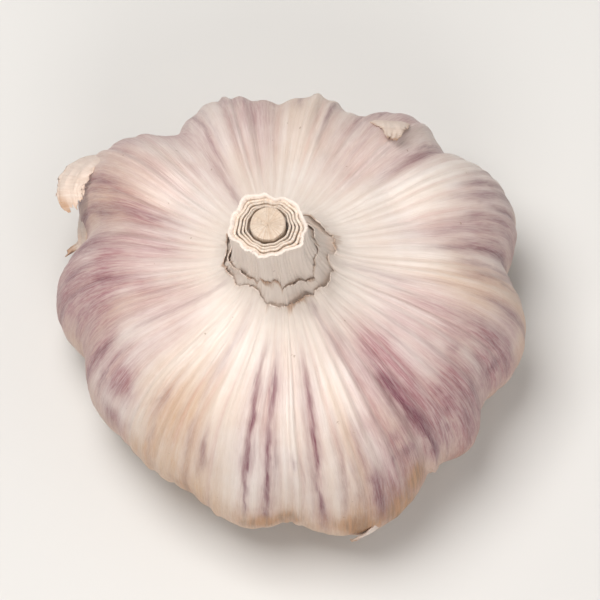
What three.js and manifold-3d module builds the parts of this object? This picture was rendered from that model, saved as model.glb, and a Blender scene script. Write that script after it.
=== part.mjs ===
// A head of garlic standing on its root end, in millimetres, with +Z up its axis and the
// origin in the middle of the flat spot that it rests on. The front is -Y.
// Three pieces: the bulb (cloves in their dry skins, with the neck grown on), the cut
// flower stalk that stands in the neck, and the root plate with its trimmed roots.

import * as THREE from 'three';
import Module from 'manifold-3d';

const wasm = await Module();
wasm.setup();

const DEGREE = Math.PI / 180;
const FULL_TURN = 2 * Math.PI;

// ---------- driving sizes ----------

const HEART = 18.5;            // height of the bulb's widest ring, where the shape's rays start
const NECK_BASE = 41;          // where the shoulder turns up into the neck
const NECK_TOP = 60;
const FIT_GAP = 0.3;           // clear gap between two pieces that touch
const SLIVER = 0.02;           // edges shorter than this are dropped where pieces are joined

const RIBS = 66;               // raised veins of the skin round the bulb
const RIB_HEIGHT = [0.14, 0.42];
const RIB_GROOVE = -0.12;      // between two ribs
const RIB_SPREAD = 0.9;        // how uneven the spaces between the ribs are
const RIB_FADE = [0.3, 1];     // how much of a rib is lost near the root end
const RIB_SEED = 41;
const RIB_LOW_END = 6;         // heights between which the ribs rise to their full size
const RIB_FULL_FROM = 30;
const NECK_PLEATS = 0.38;      // height of the ribs on the neck, as a share of their own
const SKIN_ROWS = 28;
const SKIN_TWIST = 12 * DEGREE; // the veins wind a little on their way up the neck
const TWIST_START = 32;         // height where they begin to wind

const CLOVE_BLEND = 1.25;      // per mm: how sharply one clove meets the next
const CLOVE_DEPTH = 12.5;      // half thickness of a clove, outwards
const CLOVE_LEAN = 14 * DEGREE;

const ROOT_HOLE = { rim: 11.2, wall: 9.9, ceiling: 5.3, lip: 1.3 };
const STALK_RADIUS = 2.3;
const STALK_FOOT = NECK_BASE - 0.5;
const STALK_TOP = NECK_TOP + 0.7;

// Half outline of the bulb under its cloves, from the rim of the root hole to the neck's cut:
// distance from the axis, height.
const MERIDIAN = [
  [ROOT_HOLE.rim, 0.5], [14.6, 0.0], [19.0, 0.9], [23.8, 3.6], [27.2, 7.8], [29.0, 13.2],
  [29.2, 19.2], [28.0, 25.2], [25.4, 30.2], [21.8, 34.0], [17.2, 36.8], [12.6, 39.0],
  [9.0, 41.2], [6.8, 43.9], [5.6, 47.4], [5.0, 51.4], [4.7, 55.8], [4.9, NECK_TOP],
];

// One clove bulges the skin at each azimuth (degrees): how far out it reaches, half its
// breadth, half its height and the height of its middle.
const CLOVES = [
  { azimuth: 174, reach: 33.0, breadth: 9.8, height: 18.5, middle: 18.0 },
  { azimuth: 203, reach: 30.0, breadth: 10.0, height: 18.5, middle: 18.0 },
  { azimuth: 228, reach: 27.8, breadth: 10.2, height: 18.0, middle: 17.5 },
  { azimuth: 256, reach: 30.2, breadth: 10.4, height: 18.5, middle: 18.0 },
  { azimuth: 291, reach: 32.0, breadth: 13.0, height: 18.5, middle: 17.5 },
  { azimuth: 325, reach: 30.5, breadth: 6.8, height: 17.5, middle: 17.5 },
  { azimuth: 355, reach: 32.3, breadth: 10.4, height: 18.5, middle: 18.0 },
  { azimuth: 30, reach: 34.3, breadth: 11.2, height: 18.0, middle: 18.5 },
  { azimuth: 57, reach: 33.0, breadth: 9.6, height: 18.5, middle: 18.0 },
  { azimuth: 83, reach: 31.4, breadth: 8.4, height: 18.0, middle: 18.5 },
  { azimuth: 110, reach: 32.4, breadth: 10.0, height: 18.5, middle: 18.0 },
  { azimuth: 143, reach: 35.3, breadth: 10.2, height: 18.0, middle: 18.5 },
];

// The neck's section isn't round: it has soft folds, as waves per turn, depth and start.
const NECK_FOLDS = [
  { waves: 2, depth: 0.35, start: 0.5 },
  { waves: 5, depth: 0.22, start: 2.1 },
  { waves: 11, depth: 0.16, start: 0.8 },
];
const NECK_LEAN = { x: -3.4, y: -4.6 };   // shift of the cut from the bulb's axis
const LEAN_START = 22;                    // height where the shift begins
const CUT_SLOPE = 0.13;                   // the knife went through a little aslant

// ---------- small helpers ----------

function seededRandom(seed) {
  let state = seed;
  return () => {
    state = (state * 1664525 + 1013904223) % 4294967296;
    return state / 4294967296;
  };
}

const between = (random, [low, high]) => low + (high - low) * random();

function smoothStep(from, to, value) {
  return THREE.MathUtils.smoothstep(value, from, to);
}

// Moves a point sideways as the neck leans, and slants the neck's cut.
function leaned(x, y, z) {
  const share = smoothStep(LEAN_START, NECK_TOP + 4, z);
  const aslant = smoothStep(NECK_BASE + 9, NECK_TOP, z) * CUT_SLOPE * x;
  return new THREE.Vector3(x + NECK_LEAN.x * share, y + NECK_LEAN.y * share, z + aslant);
}

// A closed skin over a grid of rings. Each ring is a closed list of points, the first and
// the last ring are capped from their middle points, and faces look outwards when the
// rings turn anticlockwise and follow one another from the top of a solid down its outside.
function ringSolid(startMiddle, rings, endMiddle) {
  const columns = rings[0].length;
  const points = [startMiddle, ...rings.flat(), endMiddle];
  const last = points.length - 1;
  const at = (ring, column) => 1 + ring * columns + (column % columns);
  const faces = [];
  for (let column = 0; column < columns; column += 1) {
    faces.push(0, at(0, column), at(0, column + 1));
    faces.push(last, at(rings.length - 1, column + 1), at(rings.length - 1, column));
  }
  for (let ring = 0; ring < rings.length - 1; ring += 1) {
    for (let column = 0; column < columns; column += 1) {
      const [a, b] = [at(ring, column), at(ring, column + 1)];
      const [c, d] = [at(ring + 1, column), at(ring + 1, column + 1)];
      faces.push(a, c, d, a, d, b);
    }
  }
  return solidOf(points, faces);
}

// A closed ring-shaped skin: the rings follow one another round and meet the first again.
function loopSolid(rings) {
  const columns = rings[0].length;
  const at = (ring, column) => (ring % rings.length) * columns + (column % columns);
  const faces = [];
  for (let ring = 0; ring < rings.length; ring += 1) {
    for (let column = 0; column < columns; column += 1) {
      const [a, b] = [at(ring, column), at(ring, column + 1)];
      const [c, d] = [at(ring + 1, column), at(ring + 1, column + 1)];
      faces.push(a, c, d, a, d, b);
    }
  }
  return solidOf(rings.flat(), faces);
}

function solidOf(points, faces) {
  const vertProperties = new Float32Array(points.flatMap((point) => point.toArray()));
  return new wasm.Manifold(new wasm.Mesh({
    numProp: 3, vertProperties, triVerts: new Uint32Array(faces),
  }));
}

// Pieces that overlap can close off small pockets between them: only the outer skin stays.
// Slivers where they cross are smoothed away.
function joined(pieces) {
  const whole = pieces.reduce((sum, piece) => sum.add(piece)).simplify(SLIVER);
  return whole.decompose().reduce((a, b) => (a.volume() > b.volume() ? a : b));
}

function meshOf(name, solid, look) {
  const { vertProperties, triVerts } = solid.getMesh();
  const geometry = new THREE.BufferGeometry();
  geometry.setAttribute('position', new THREE.BufferAttribute(vertProperties, 3));
  geometry.setIndex(new THREE.BufferAttribute(triVerts, 1));
  geometry.computeVertexNormals();
  const mesh = new THREE.Mesh(geometry, new THREE.MeshStandardMaterial(look));
  mesh.name = name;
  return mesh;
}

// ---------- the skin's shape ----------

// Distance along a ray from the heart to the far side of one clove, an ellipsoid whose top
// leans in towards the neck. The ray rises at the given cosine and sine.
function reachThroughClove(clove, azimuth, cosine, sine) {
  const turn = azimuth - clove.azimuth * DEGREE;
  const [leanCos, leanSin] = [Math.cos(CLOVE_LEAN), Math.sin(CLOVE_LEAN)];
  const outward = cosine * Math.cos(turn);
  const start = { out: CLOVE_DEPTH - clove.reach, up: HEART - clove.middle };
  const ray = new THREE.Vector3(
    (outward * leanCos + sine * leanSin) / CLOVE_DEPTH,
    (cosine * Math.sin(turn)) / clove.breadth,
    (sine * leanCos - outward * leanSin) / clove.height,
  );
  const origin = new THREE.Vector3(
    (start.out * leanCos + start.up * leanSin) / CLOVE_DEPTH,
    0,
    (start.up * leanCos - start.out * leanSin) / clove.height,
  );
  const along = ray.dot(origin);
  const square = ray.lengthSq();
  const inside = along * along - square * (origin.lengthSq() - 1);
  return inside > 0 ? (Math.sqrt(inside) - along) / square : -Infinity;
}

// The bulb's surface without its ribs, at an azimuth and a point of the meridian: the
// farther of the meridian and the cloves along a ray from the heart, blended.
function smoothSkin(azimuth, radius, height) {
  const reach = Math.hypot(radius, height - HEART);
  const [cosine, sine] = [radius / reach, (height - HEART) / reach];
  let sum = 1;
  for (const clove of CLOVES) {
    const past = reachThroughClove(clove, azimuth, cosine, sine) - reach;
    sum += Math.exp(CLOVE_BLEND * past);
  }
  const blended = reach + Math.log(sum) / CLOVE_BLEND;
  return { radius: blended * cosine, height: HEART + blended * sine };
}

function neckFold(azimuth, height) {
  const share = smoothStep(NECK_BASE - 2, NECK_BASE + 6, height);
  const depth = ({ waves, depth: deep, start }) => deep * Math.cos(waves * azimuth + start);
  return share * NECK_FOLDS.reduce((sum, fold) => sum + depth(fold), 0);
}

function skinPoint(azimuth, radius, height, raise = 0) {
  const smooth = smoothSkin(azimuth, radius, height);
  const outward = Math.hypot(smooth.radius, smooth.height - HEART) || 1;
  const onBody = 1 - smoothStep(NECK_BASE - 5, NECK_BASE + 2, height);
  const up = onBody * raise * (smooth.height - HEART) / outward;
  const out = raise * (onBody * smooth.radius / outward + 1 - onBody);
  const distance = smooth.radius + out + neckFold(azimuth, height);
  return leaned(
    distance * Math.cos(azimuth),
    distance * Math.sin(azimuth),
    Math.max(0, smooth.height + up),
  );
}

// ---------- the bulb ----------

// Each rib has a groove at its start and a crest in its middle, unevenly spaced round.
function ribColumns() {
  const random = seededRandom(RIB_SEED);
  const widths = Array.from({ length: RIBS }, () => 1 + RIB_SPREAD * (random() - 0.5));
  const turnShare = FULL_TURN / widths.reduce((sum, width) => sum + width, 0);
  const columns = [];
  let azimuth = 0;
  for (const width of widths) {
    const crest = between(random, RIB_HEIGHT);
    const fade = between(random, RIB_FADE);
    columns.push({ azimuth, crest: RIB_GROOVE, fade });
    columns.push({ azimuth: azimuth + 0.5 * width * turnShare, crest, fade });
    azimuth += width * turnShare;
  }
  return columns;
}

// Ribs are full on the shoulder, flatter near the root end and fine pleats on the neck.
function ribShare(height, fade) {
  const low = 1 - smoothStep(RIB_LOW_END, RIB_FULL_FROM, height);
  const neck = smoothStep(NECK_BASE - 6, NECK_BASE + 3, height);
  return (1 - low * fade) * THREE.MathUtils.lerp(1, NECK_PLEATS, neck);
}

function outerRings(columns) {
  const curve = new THREE.SplineCurve(MERIDIAN.map(([r, z]) => new THREE.Vector2(r, z)));
  return curve.getPoints(SKIN_ROWS).reverse().map((point) => columns.map((column) => {
    const wound = SKIN_TWIST * smoothStep(TWIST_START, NECK_TOP, point.y);
    const raise = column.crest * ribShare(point.y, column.fade);
    return skinPoint(column.azimuth + wound, point.x, point.y, raise);
  }));
}

function roundRing(columns, radius, height) {
  return columns.map(({ azimuth }) => leaned(
    radius * Math.cos(azimuth), radius * Math.sin(azimuth), height,
  ));
}

// From the floor of the stalk's hole up its wall, over the cut, down the outside and up
// into the hollow that holds the root plate.
function cloveBody() {
  const columns = ribColumns();
  const hole = STALK_RADIUS + FIT_GAP;
  const floor = STALK_FOOT - FIT_GAP;
  const rings = [
    roundRing(columns, hole, floor),
    roundRing(columns, hole, 0.5 * (floor + NECK_TOP)),
    roundRing(columns, hole, NECK_TOP),
    ...outerRings(columns),
    roundRing(columns, ROOT_HOLE.wall, ROOT_HOLE.lip),
    roundRing(columns, ROOT_HOLE.wall, ROOT_HOLE.ceiling),
  ];
  return ringSolid(leaned(0, 0, floor), rings, leaned(0, 0, ROOT_HOLE.ceiling));
}

// ---------- torn skin ----------

const BLADE = 0.65;   // thickness of a torn skin's blade

// The outermost skin ends round the foot of the neck in a ragged cuff that stands off a
// little. Its edge rises and falls in waves per turn, height and start.
const CUFF = { foot: 42.6, edge: 47.6, standOff: 0.55, columns: 54 };
const CUFF_WAVES = [
  { waves: 3, height: 1.7, start: 1.0 },
  { waves: 7, height: 1.0, start: 0.3 },
  { waves: 17, height: 0.6, start: 2.0 },
];
// Once round the cuff's section: share of the way up, and distance off the neck.
const CUFF_SECTION = [
  [1, CUFF.standOff], [1, CUFF.standOff + 0.6 * BLADE], [0.6, 0.8 * BLADE], [0, 0.05],
  [0, -1.2], [0.6, -0.3],
];

// Distance of the meridian from the axis at a height above the resting ring.
function meridianRadius(height) {
  const next = MERIDIAN.findIndex(([, z], i) => i > 1 && z >= height);
  const [[r0, z0], [r1, z1]] = [MERIDIAN[next - 1], MERIDIAN[next]];
  return THREE.MathUtils.lerp(r0, r1, (height - z0) / (z1 - z0));
}

function cuffEdge(azimuth) {
  return CUFF_WAVES.reduce(
    (sum, wave) => sum + wave.height * Math.sin(wave.waves * azimuth + wave.start),
    CUFF.edge,
  );
}

function tornCuff() {
  const azimuths = Array.from({ length: CUFF.columns }, (_, i) => i * FULL_TURN / CUFF.columns);
  return loopSolid(CUFF_SECTION.map(([share, off]) => azimuths.map((azimuth) => {
    const height = THREE.MathUtils.lerp(CUFF.foot, cuffEdge(azimuth), share);
    const radius = meridianRadius(height) + off + neckFold(azimuth, height);
    return leaned(radius * Math.cos(azimuth), radius * Math.sin(azimuth), height);
  })));
}

// A flake of skin that has come away. It is rooted in the skin along one edge and runs on
// round the bulb (turn, degrees), up or down (rise), and away from the surface (lift), and
// its lower edge swings out (twist, degrees). Its width goes from the root's to the tip's,
// and its sides are nicked.
const FLAKES = [
  {
    azimuth: 141, height: 24, turn: 15, rise: -2, lift: 5.6, twist: 60,
    width: [7, 4.0], nick: 0.9,
  },
  {
    azimuth: 153, height: 19, turn: 11, rise: -3.5, lift: 1.8, twist: 30,
    width: [7, 1.2], nick: 0.6,
  },
  {
    azimuth: 294, height: 12, turn: -9, rise: -2, lift: 1.1, twist: 0,
    width: [3.4, 1.0], nick: 0.3,
  },
  {
    azimuth: 62, height: 29, turn: -9, rise: 4.5, lift: 1.7, twist: -20,
    width: [7, 1.4], nick: 0.7,
  },
];
const FLAKE_STEPS = 7;
const FLAKE_ROOT_DEPTH = 1.4;
const FLAKE_CURL = 0.12;        // its sides bend back, as a share of the half width
const NICK_TURNS = 5.5;         // radians of the nicks' wave along a flake
// Once round a flake's section: side across it, and inner or outer face.
const FLAKE_SECTION = [[-1, -1], [0, -1], [1, -1], [1, 1], [0, 1], [-1, 1]];

function skinAt(degrees, height) {
  return skinPoint(degrees * DEGREE, meridianRadius(height), height);
}

// Directions on the skin: out of it, and onward round it by the given steps.
function skinFrame(degrees, height, turnStep, riseStep) {
  const middle = skinAt(degrees, height);
  const round = skinAt(degrees + 2, height).sub(skinAt(degrees - 2, height));
  const upward = skinAt(degrees, height + 1).sub(skinAt(degrees, height - 1));
  const onward = skinAt(degrees + turnStep, height + riseStep).sub(middle).normalize();
  return { middle, normal: round.cross(upward).normalize(), onward };
}

function flakeBlade(flake) {
  const { azimuth, height, turn, rise, lift, twist, width, nick } = flake;
  const rings = [];
  for (let step = 0; step <= FLAKE_STEPS; step += 1) {
    const share = step / FLAKE_STEPS;
    const { middle, normal, onward } = skinFrame(
      azimuth + turn * share, height + rise * share, Math.sign(turn), rise / Math.abs(turn),
    );
    const across = normal.clone().cross(onward).normalize();
    normal.applyAxisAngle(onward, -twist * DEGREE * share);
    across.applyAxisAngle(onward, -twist * DEGREE * share);
    const half = 0.5 * THREE.MathUtils.lerp(width[0], width[1], share)
      + nick * Math.sin(NICK_TURNS * share + azimuth) * share;
    const away = (lift + FLAKE_ROOT_DEPTH) * share ** 0.85 - FLAKE_ROOT_DEPTH;
    rings.push(FLAKE_SECTION.map(([side, face]) => middle.clone()
      .addScaledVector(across, side * half)
      .addScaledVector(normal, away + 0.5 * face * BLADE - FLAKE_CURL * Math.abs(side) * half)));
  }
  const middleOf = (ring) => ring[1].clone().add(ring[4]).multiplyScalar(0.5);
  return ringSolid(middleOf(rings[0]), rings, middleOf(rings[FLAKE_STEPS]));
}

function bulb() {
  return joined([cloveBody(), tornCuff(), ...FLAKES.map(flakeBlade)]);
}

// ---------- the cut flower stalk ----------

function stalk() {
  const sides = 24;
  const columns = Array.from({ length: sides }, (_, i) => ({ azimuth: i * FULL_TURN / sides }));
  const heights = [STALK_TOP, NECK_TOP - 1, 0.5 * (STALK_FOOT + NECK_TOP), STALK_FOOT];
  const radii = [STALK_RADIUS - 0.35, STALK_RADIUS, STALK_RADIUS, STALK_RADIUS];
  const rings = heights.map((height, i) => roundRing(columns, radii[i], height));
  return ringSolid(leaned(0, 0, STALK_TOP), rings, leaned(0, 0, STALK_FOOT));
}

// ---------- the root plate and its trimmed roots ----------

const PLATE = { radius: ROOT_HOLE.wall - 0.5, top: ROOT_HOLE.ceiling - FIT_GAP, under: 3.4 };
const CROWN = { foot: 4.6, top: 5.6 };    // the flat scar that the bulb stands on
const ROOTS = {
  count: 84, inner: 5.4, outer: 8.9, thickness: [0.42, 0.62], end: [0.15, 1.6], splay: 0.9,
};
const ROOT_SIDES = 6;
const ROOT_SEED = 7;

function ringAt(radius, height, sides = 36) {
  return Array.from({ length: sides }, (_, i) => {
    const azimuth = i * FULL_TURN / sides;
    return new THREE.Vector3(radius * Math.cos(azimuth), radius * Math.sin(azimuth), height);
  });
}

function rootPlate() {
  const rings = [
    ringAt(PLATE.radius - 0.6, PLATE.top),
    ringAt(PLATE.radius, PLATE.top - 0.6),
    ringAt(PLATE.radius - 0.4, PLATE.under),
    ringAt(CROWN.top, PLATE.under - 0.5),
    ringAt(CROWN.foot + 0.2, 0.6),
    ringAt(CROWN.foot, 0),
  ];
  return ringSolid(new THREE.Vector3(0, 0, PLATE.top), rings, new THREE.Vector3(0, 0, 0));
}

// One root: a bent tapering stub from inside the plate down to its cut end.
function root(random, turn, distance) {
  const end = between(random, ROOTS.end);
  const thick = between(random, ROOTS.thickness);
  const lean = ROOTS.splay * (random() - 0.35);
  const drift = ROOTS.splay * (random() - 0.5);
  const top = PLATE.under + 0.7;
  const rings = [0, 0.55, 1].map((share) => {
    const out = Math.min(distance + lean * share * share, ROOTS.outer + 0.2);
    const aside = drift * share * share;
    const middle = new THREE.Vector3(
      out * Math.cos(turn) - aside * Math.sin(turn),
      out * Math.sin(turn) + aside * Math.cos(turn),
      top + (end - top) * share,
    );
    const radius = thick * (1 - 0.25 * share);
    return ringAt(radius, 0, ROOT_SIDES).map((corner) => corner.add(middle));
  });
  const middleOf = (ring) => ring[0].clone().add(ring[ROOT_SIDES / 2]).multiplyScalar(0.5);
  return ringSolid(middleOf(rings[0]), rings, middleOf(rings[2]));
}

// Roots are spread over the plate's ring by the golden angle, so no two stand in a row.
function roots() {
  const random = seededRandom(ROOT_SEED);
  const goldenAngle = Math.PI * (3 - Math.sqrt(5));
  const pieces = [rootPlate()];
  for (let i = 0; i < ROOTS.count; i += 1) {
    const share = (i + 0.5) / ROOTS.count;
    const square = THREE.MathUtils.lerp(ROOTS.inner ** 2, ROOTS.outer ** 2, share);
    pieces.push(root(random, i * goldenAngle, Math.sqrt(square)));
  }
  return joined(pieces);
}

// ---------- the whole garlic ----------

const garlic = new THREE.Group();
garlic.add(
  meshOf('bulb', bulb(), { color: 0xd8c8bc, roughness: 0.55, metalness: 0 }),
  meshOf('stalk', stalk(), { color: 0xc9b391, roughness: 0.75, metalness: 0 }),
  meshOf('roots', roots(), { color: 0xa98f6c, roughness: 0.85, metalness: 0 }),
);

export default garlic;
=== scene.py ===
"""A head of purple-striped garlic, standing on its root end, dressed around its solids.

Sizes here are millimetres in the solids' own frame (+Z up the bulb's axis, -Y the front)
and become metres where a mesh is made. The skin's main shape repeats the solids' formula:
the farther of a half outline and a ring of leaning ellipsoids (the cloves), blended.
"""

import math

import bpy
import numpy as np
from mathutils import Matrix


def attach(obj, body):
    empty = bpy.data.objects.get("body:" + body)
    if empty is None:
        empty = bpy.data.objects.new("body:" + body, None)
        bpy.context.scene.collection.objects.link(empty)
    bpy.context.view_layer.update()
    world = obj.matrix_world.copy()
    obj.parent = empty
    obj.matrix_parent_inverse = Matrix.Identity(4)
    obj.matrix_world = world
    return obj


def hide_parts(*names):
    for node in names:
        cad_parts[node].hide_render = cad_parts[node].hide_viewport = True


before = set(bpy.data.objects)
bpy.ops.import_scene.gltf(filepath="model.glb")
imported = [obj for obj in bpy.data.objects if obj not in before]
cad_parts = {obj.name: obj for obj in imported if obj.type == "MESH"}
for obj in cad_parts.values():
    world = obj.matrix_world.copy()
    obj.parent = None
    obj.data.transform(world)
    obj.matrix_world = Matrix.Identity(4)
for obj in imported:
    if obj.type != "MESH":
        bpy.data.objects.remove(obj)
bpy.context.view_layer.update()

MM = 0.001
TURN = 2 * math.pi

# ---- the solids' own sizes

HEART = 18.5
NECK_BASE = 41.0
NECK_TOP = 60.0
RIBS = 66
RIB_SEED = 41
RIB_SPREAD = 0.9
RIB_HEIGHT = (0.14, 0.42)
RIB_FADE = (0.3, 1.0)
RIB_GROOVE = -0.12
RIB_LOW_END, RIB_FULL_FROM = 6.0, 30.0
NECK_PLEATS = 0.38
SKIN_TWIST = math.radians(12)
TWIST_START = 32.0
CLOVE_BLEND = 1.25
CLOVE_DEPTH = 12.5
CLOVE_LEAN = math.radians(14)
ROOT_HOLE_RIM, ROOT_HOLE_WALL, ROOT_HOLE_CEILING, ROOT_HOLE_LIP = 11.2, 9.9, 5.3, 1.3
STALK_RADIUS = 2.3
STALK_FOOT = 40.5
STALK_TOP = 60.7
FIT_GAP = 0.3
NECK_LEAN = (-3.4, -4.6)
LEAN_START = 22.0
CUT_SLOPE = 0.13

MERIDIAN = np.array([
    (ROOT_HOLE_RIM, 0.5), (14.6, 0.0), (19.0, 0.9), (23.8, 3.6), (27.2, 7.8), (29.0, 13.2),
    (29.2, 19.2), (28.0, 25.2), (25.4, 30.2), (21.8, 34.0), (17.2, 36.8), (12.6, 39.0),
    (9.0, 41.2), (6.8, 43.9), (5.6, 47.4), (5.0, 51.4), (4.7, 55.8), (4.9, NECK_TOP),
])

# azimuth in degrees, reach, half breadth, half height, height of the middle
CLOVES = [
    (174, 33.0, 9.8, 18.5, 18.0), (203, 30.0, 10.0, 18.5, 18.0), (228, 27.8, 10.2, 18.0, 17.5),
    (256, 30.2, 10.4, 18.5, 18.0), (291, 32.0, 13.0, 18.5, 17.5), (325, 30.5, 6.8, 17.5, 17.5),
    (355, 32.3, 10.4, 18.5, 18.0), (30, 34.3, 11.2, 18.0, 18.5), (57, 33.0, 9.6, 18.5, 18.0),
    (83, 31.4, 8.4, 18.0, 18.5), (110, 32.4, 10.0, 18.5, 18.0), (143, 35.3, 10.2, 18.0, 18.5),
]

# waves per turn, depth, start
NECK_FOLDS = [(2, 0.35, 0.5), (5, 0.22, 2.1), (11, 0.16, 0.8)]


# ---- small formulas

def smooth_step(low, high, value):
    """0 below low, 1 above high, and 3t^2 - 2t^3 between them."""
    t = np.clip((value - low) / (high - low), 0.0, 1.0)
    return t * t * (3 - 2 * t)


def fade(low, high, value):
    """1 below low, 0 above high, and the same smooth step down between them."""
    return 1 - smooth_step(low, high, value)


def blend(a, b, share):
    """a at share 0, b at share 1, and straight between them."""
    return a + (b - a) * share


def bell(distance, half):
    """1 in the middle, falling off as exp(-(distance / half)^2)."""
    return np.exp(-((distance / half) ** 2))


def ramp(value, blur):
    """0 to 1 in a straight line over the width of the blur, and 1/2 where the value is 0."""
    return np.clip(value / blur + 0.5, 0, 1)


def turn_apart(degrees, middle):
    """Degrees from the middle, the short way round."""
    return (degrees - middle + 180) % 360 - 180


def spline(corners, count):
    """count + 1 points, evenly spread over a Catmull-Rom curve through the corners."""
    spans = len(corners) - 1
    at = np.linspace(0, spans, count + 1)
    first = np.minimum(at.astype(int), spans - 1)
    t = (at - first)[:, None]
    p0 = corners[np.maximum(first - 1, 0)]
    p1, p2 = corners[first], corners[first + 1]
    p3 = corners[np.minimum(first + 2, spans)]
    v1, v2 = (p2 - p0) / 2, (p3 - p1) / 2
    return ((2 * p1 - 2 * p2 + v1 + v2) * t**3
            + (-3 * p1 + 3 * p2 - 2 * v1 - v2) * t**2 + v1 * t + p1)


DRIFT_REACH = 140           # no pattern runs farther than this along the veins


def drift(turns, along, cells, length, seed):
    """Smooth noise from -1 to 1 that closes on itself round the bulb: random values on a
    grid with so many cells a turn and one cell each length along, joined smoothly."""
    rng = np.random.default_rng(seed)
    rows = int(np.ceil(DRIFT_REACH / length)) + 3
    values = rng.uniform(-1, 1, (cells, rows))
    x, y = np.broadcast_arrays(np.asarray(turns) % 1.0 * cells, np.asarray(along) / length + 1)
    i, j = np.floor(x).astype(int), np.clip(np.floor(y).astype(int), 0, rows - 2)
    u, v = smooth_step(0, 1, x - i), smooth_step(0, 1, y - j)
    i, k = i % cells, (i + 1) % cells
    before = blend(values[i, j], values[k, j], u)
    return blend(before, blend(values[i, j + 1], values[k, j + 1], u), v)


def drifts(turns, along, *layers):
    """A sum of drifts. Each layer is its height, cells a turn, length of a cell and seed."""
    return sum(height * drift(turns, along, *layer) for height, *layer in layers)


def around(radius, azimuth, height):
    """Points at a distance from an upright axis."""
    radius, azimuth, height = np.broadcast_arrays(radius, azimuth, height)
    return np.stack([radius * np.cos(azimuth), radius * np.sin(azimuth), height], -1)


def polar(radius, azimuth, height):
    """Points at a distance from the bulb's axis. The neck leans: points move sideways with
    height, and the neck's cut is slanted."""
    x, y, z = np.moveaxis(around(radius, azimuth, height), -1, 0)
    share = smooth_step(LEAN_START, NECK_TOP + 4, z)
    aslant = smooth_step(NECK_BASE + 9, NECK_TOP, z) * CUT_SLOPE * x
    return np.stack([x + NECK_LEAN[0] * share, y + NECK_LEAN[1] * share, z + aslant], -1)


def smooth_skin(azimuth, radius, height):
    """The bulb without its ribs. A ray from the heart reaches the half outline at t0 and
    the far side of each leaning ellipsoid at t; the skin is at log(sum(exp(k t))) / k."""
    reach = np.hypot(radius, height - HEART)
    cosine, sine = radius / reach, (height - HEART) / reach
    total = np.ones(np.broadcast(azimuth, radius).shape)
    lean_cos, lean_sin = math.cos(CLOVE_LEAN), math.sin(CLOVE_LEAN)
    for degrees, far, breadth, half_height, middle in CLOVES:
        turn = azimuth - math.radians(degrees)
        outward = cosine * np.cos(turn)
        out, up = CLOVE_DEPTH - far, HEART - middle
        ray = np.stack(np.broadcast_arrays(
            (outward * lean_cos + sine * lean_sin) / CLOVE_DEPTH,
            cosine * np.sin(turn) / breadth,
            (sine * lean_cos - outward * lean_sin) / half_height))
        start = np.array([(out * lean_cos + up * lean_sin) / CLOVE_DEPTH, 0.0,
                          (up * lean_cos - out * lean_sin) / half_height])
        along = np.tensordot(start, ray, 1)
        square = (ray**2).sum(0)
        inside = along**2 - square * (start @ start - 1)
        far_side = (np.sqrt(np.maximum(inside, 0)) - along) / square
        total += np.where(inside > 0, np.exp(CLOVE_BLEND * (far_side - reach)), 0.0)
    blended = reach + np.log(total) / CLOVE_BLEND
    return blended * cosine, HEART + blended * sine


def on_neck(height, below, above):
    """0 on the body and 1 on the neck, with the step from below the neck's base to above."""
    return smooth_step(NECK_BASE - below, NECK_BASE + above, height)


def neck_fold(azimuth, height):
    """Soft folds of the neck: a sum of cosines round it."""
    return on_neck(height, 2, 6) * sum(depth * np.cos(waves * azimuth + start)
                                       for waves, depth, start in NECK_FOLDS)


def skin_point(azimuth, radius, height, lift=0.0):
    """A point of the skin, lifted outwards (away from the heart, or from the neck's axis)."""
    out, up = smooth_skin(azimuth, radius, height)
    away = np.hypot(out, up - HEART)
    on_body = 1 - on_neck(height, 5, 2)
    rise = on_body * lift * (up - HEART) / away
    distance = out + lift * (on_body * out / away + 1 - on_body) + neck_fold(azimuth, height)
    return polar(distance, azimuth, np.maximum(0, up + rise))


DRAW_FACTOR, DRAW_STEP, DRAW_SIZE = 1664525, 1013904223, 2**32    # linear congruential draws


def rib_table():
    """Where each rib starts (turns), how wide it is, how high its crest is and how much it
    fades low down, from the same seeded draws as the solids' ribs."""
    state = RIB_SEED

    def draw():
        nonlocal state
        state = (state * DRAW_FACTOR + DRAW_STEP) % DRAW_SIZE
        return state / DRAW_SIZE

    widths = np.array([1 + RIB_SPREAD * (draw() - 0.5) for _ in range(RIBS)])
    widths /= widths.sum()
    heights = np.array([(blend(*RIB_HEIGHT, draw()), blend(*RIB_FADE, draw()))
                        for _ in range(RIBS)])
    return np.cumsum(widths) - widths, widths, heights[:, 0], heights[:, 1]


RIB_START, RIB_WIDTH, RIB_CREST, RIB_FADING = rib_table()

# ---- the skin in detail

COLUMNS_PER_RIB = 12
SKIN_ROWS = 104
STEPS_PER_ROW = 12
FAR_FROM_AXIS = 22.0        # where the pleats have their full height, from the axis

# The outermost skin is torn off the front between these places (degrees), so it ends in an
# edge that stands up a little. Places wander by the given degrees.
OUTER_SKIN_ENDS = 226.0
OUTER_SKIN_STARTS = 311.0
OUTER_SKIN_THICK = 0.24
OUTER_SKIN_BLUR = 0.45      # degrees over which it ends
EDGE_WANDER = 1.6
EDGE_STANDS = 0.42          # how far the edge stands up, and over which length it settles
EDGE_SETTLES = 2.6
EDGE_BLUR = 0.3
STREAK_DEPTH = 0.16         # the dark veins lie in shallow creases
TORN_WINDOWS = [  # azimuth, height, half breadth in degrees, half height: holes in it behind
    (72, 29, 9, 7.5), (118, 12, 7, 6.0), (36, 8, 6, 4.0),
]
WINDOW_BLUR = 0.12          # share of a window's size over which its edge goes


def wound(azimuth, height):
    """The veins wind a little on their way up the neck."""
    return azimuth + SKIN_TWIST * smooth_step(TWIST_START, NECK_TOP, height)


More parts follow.
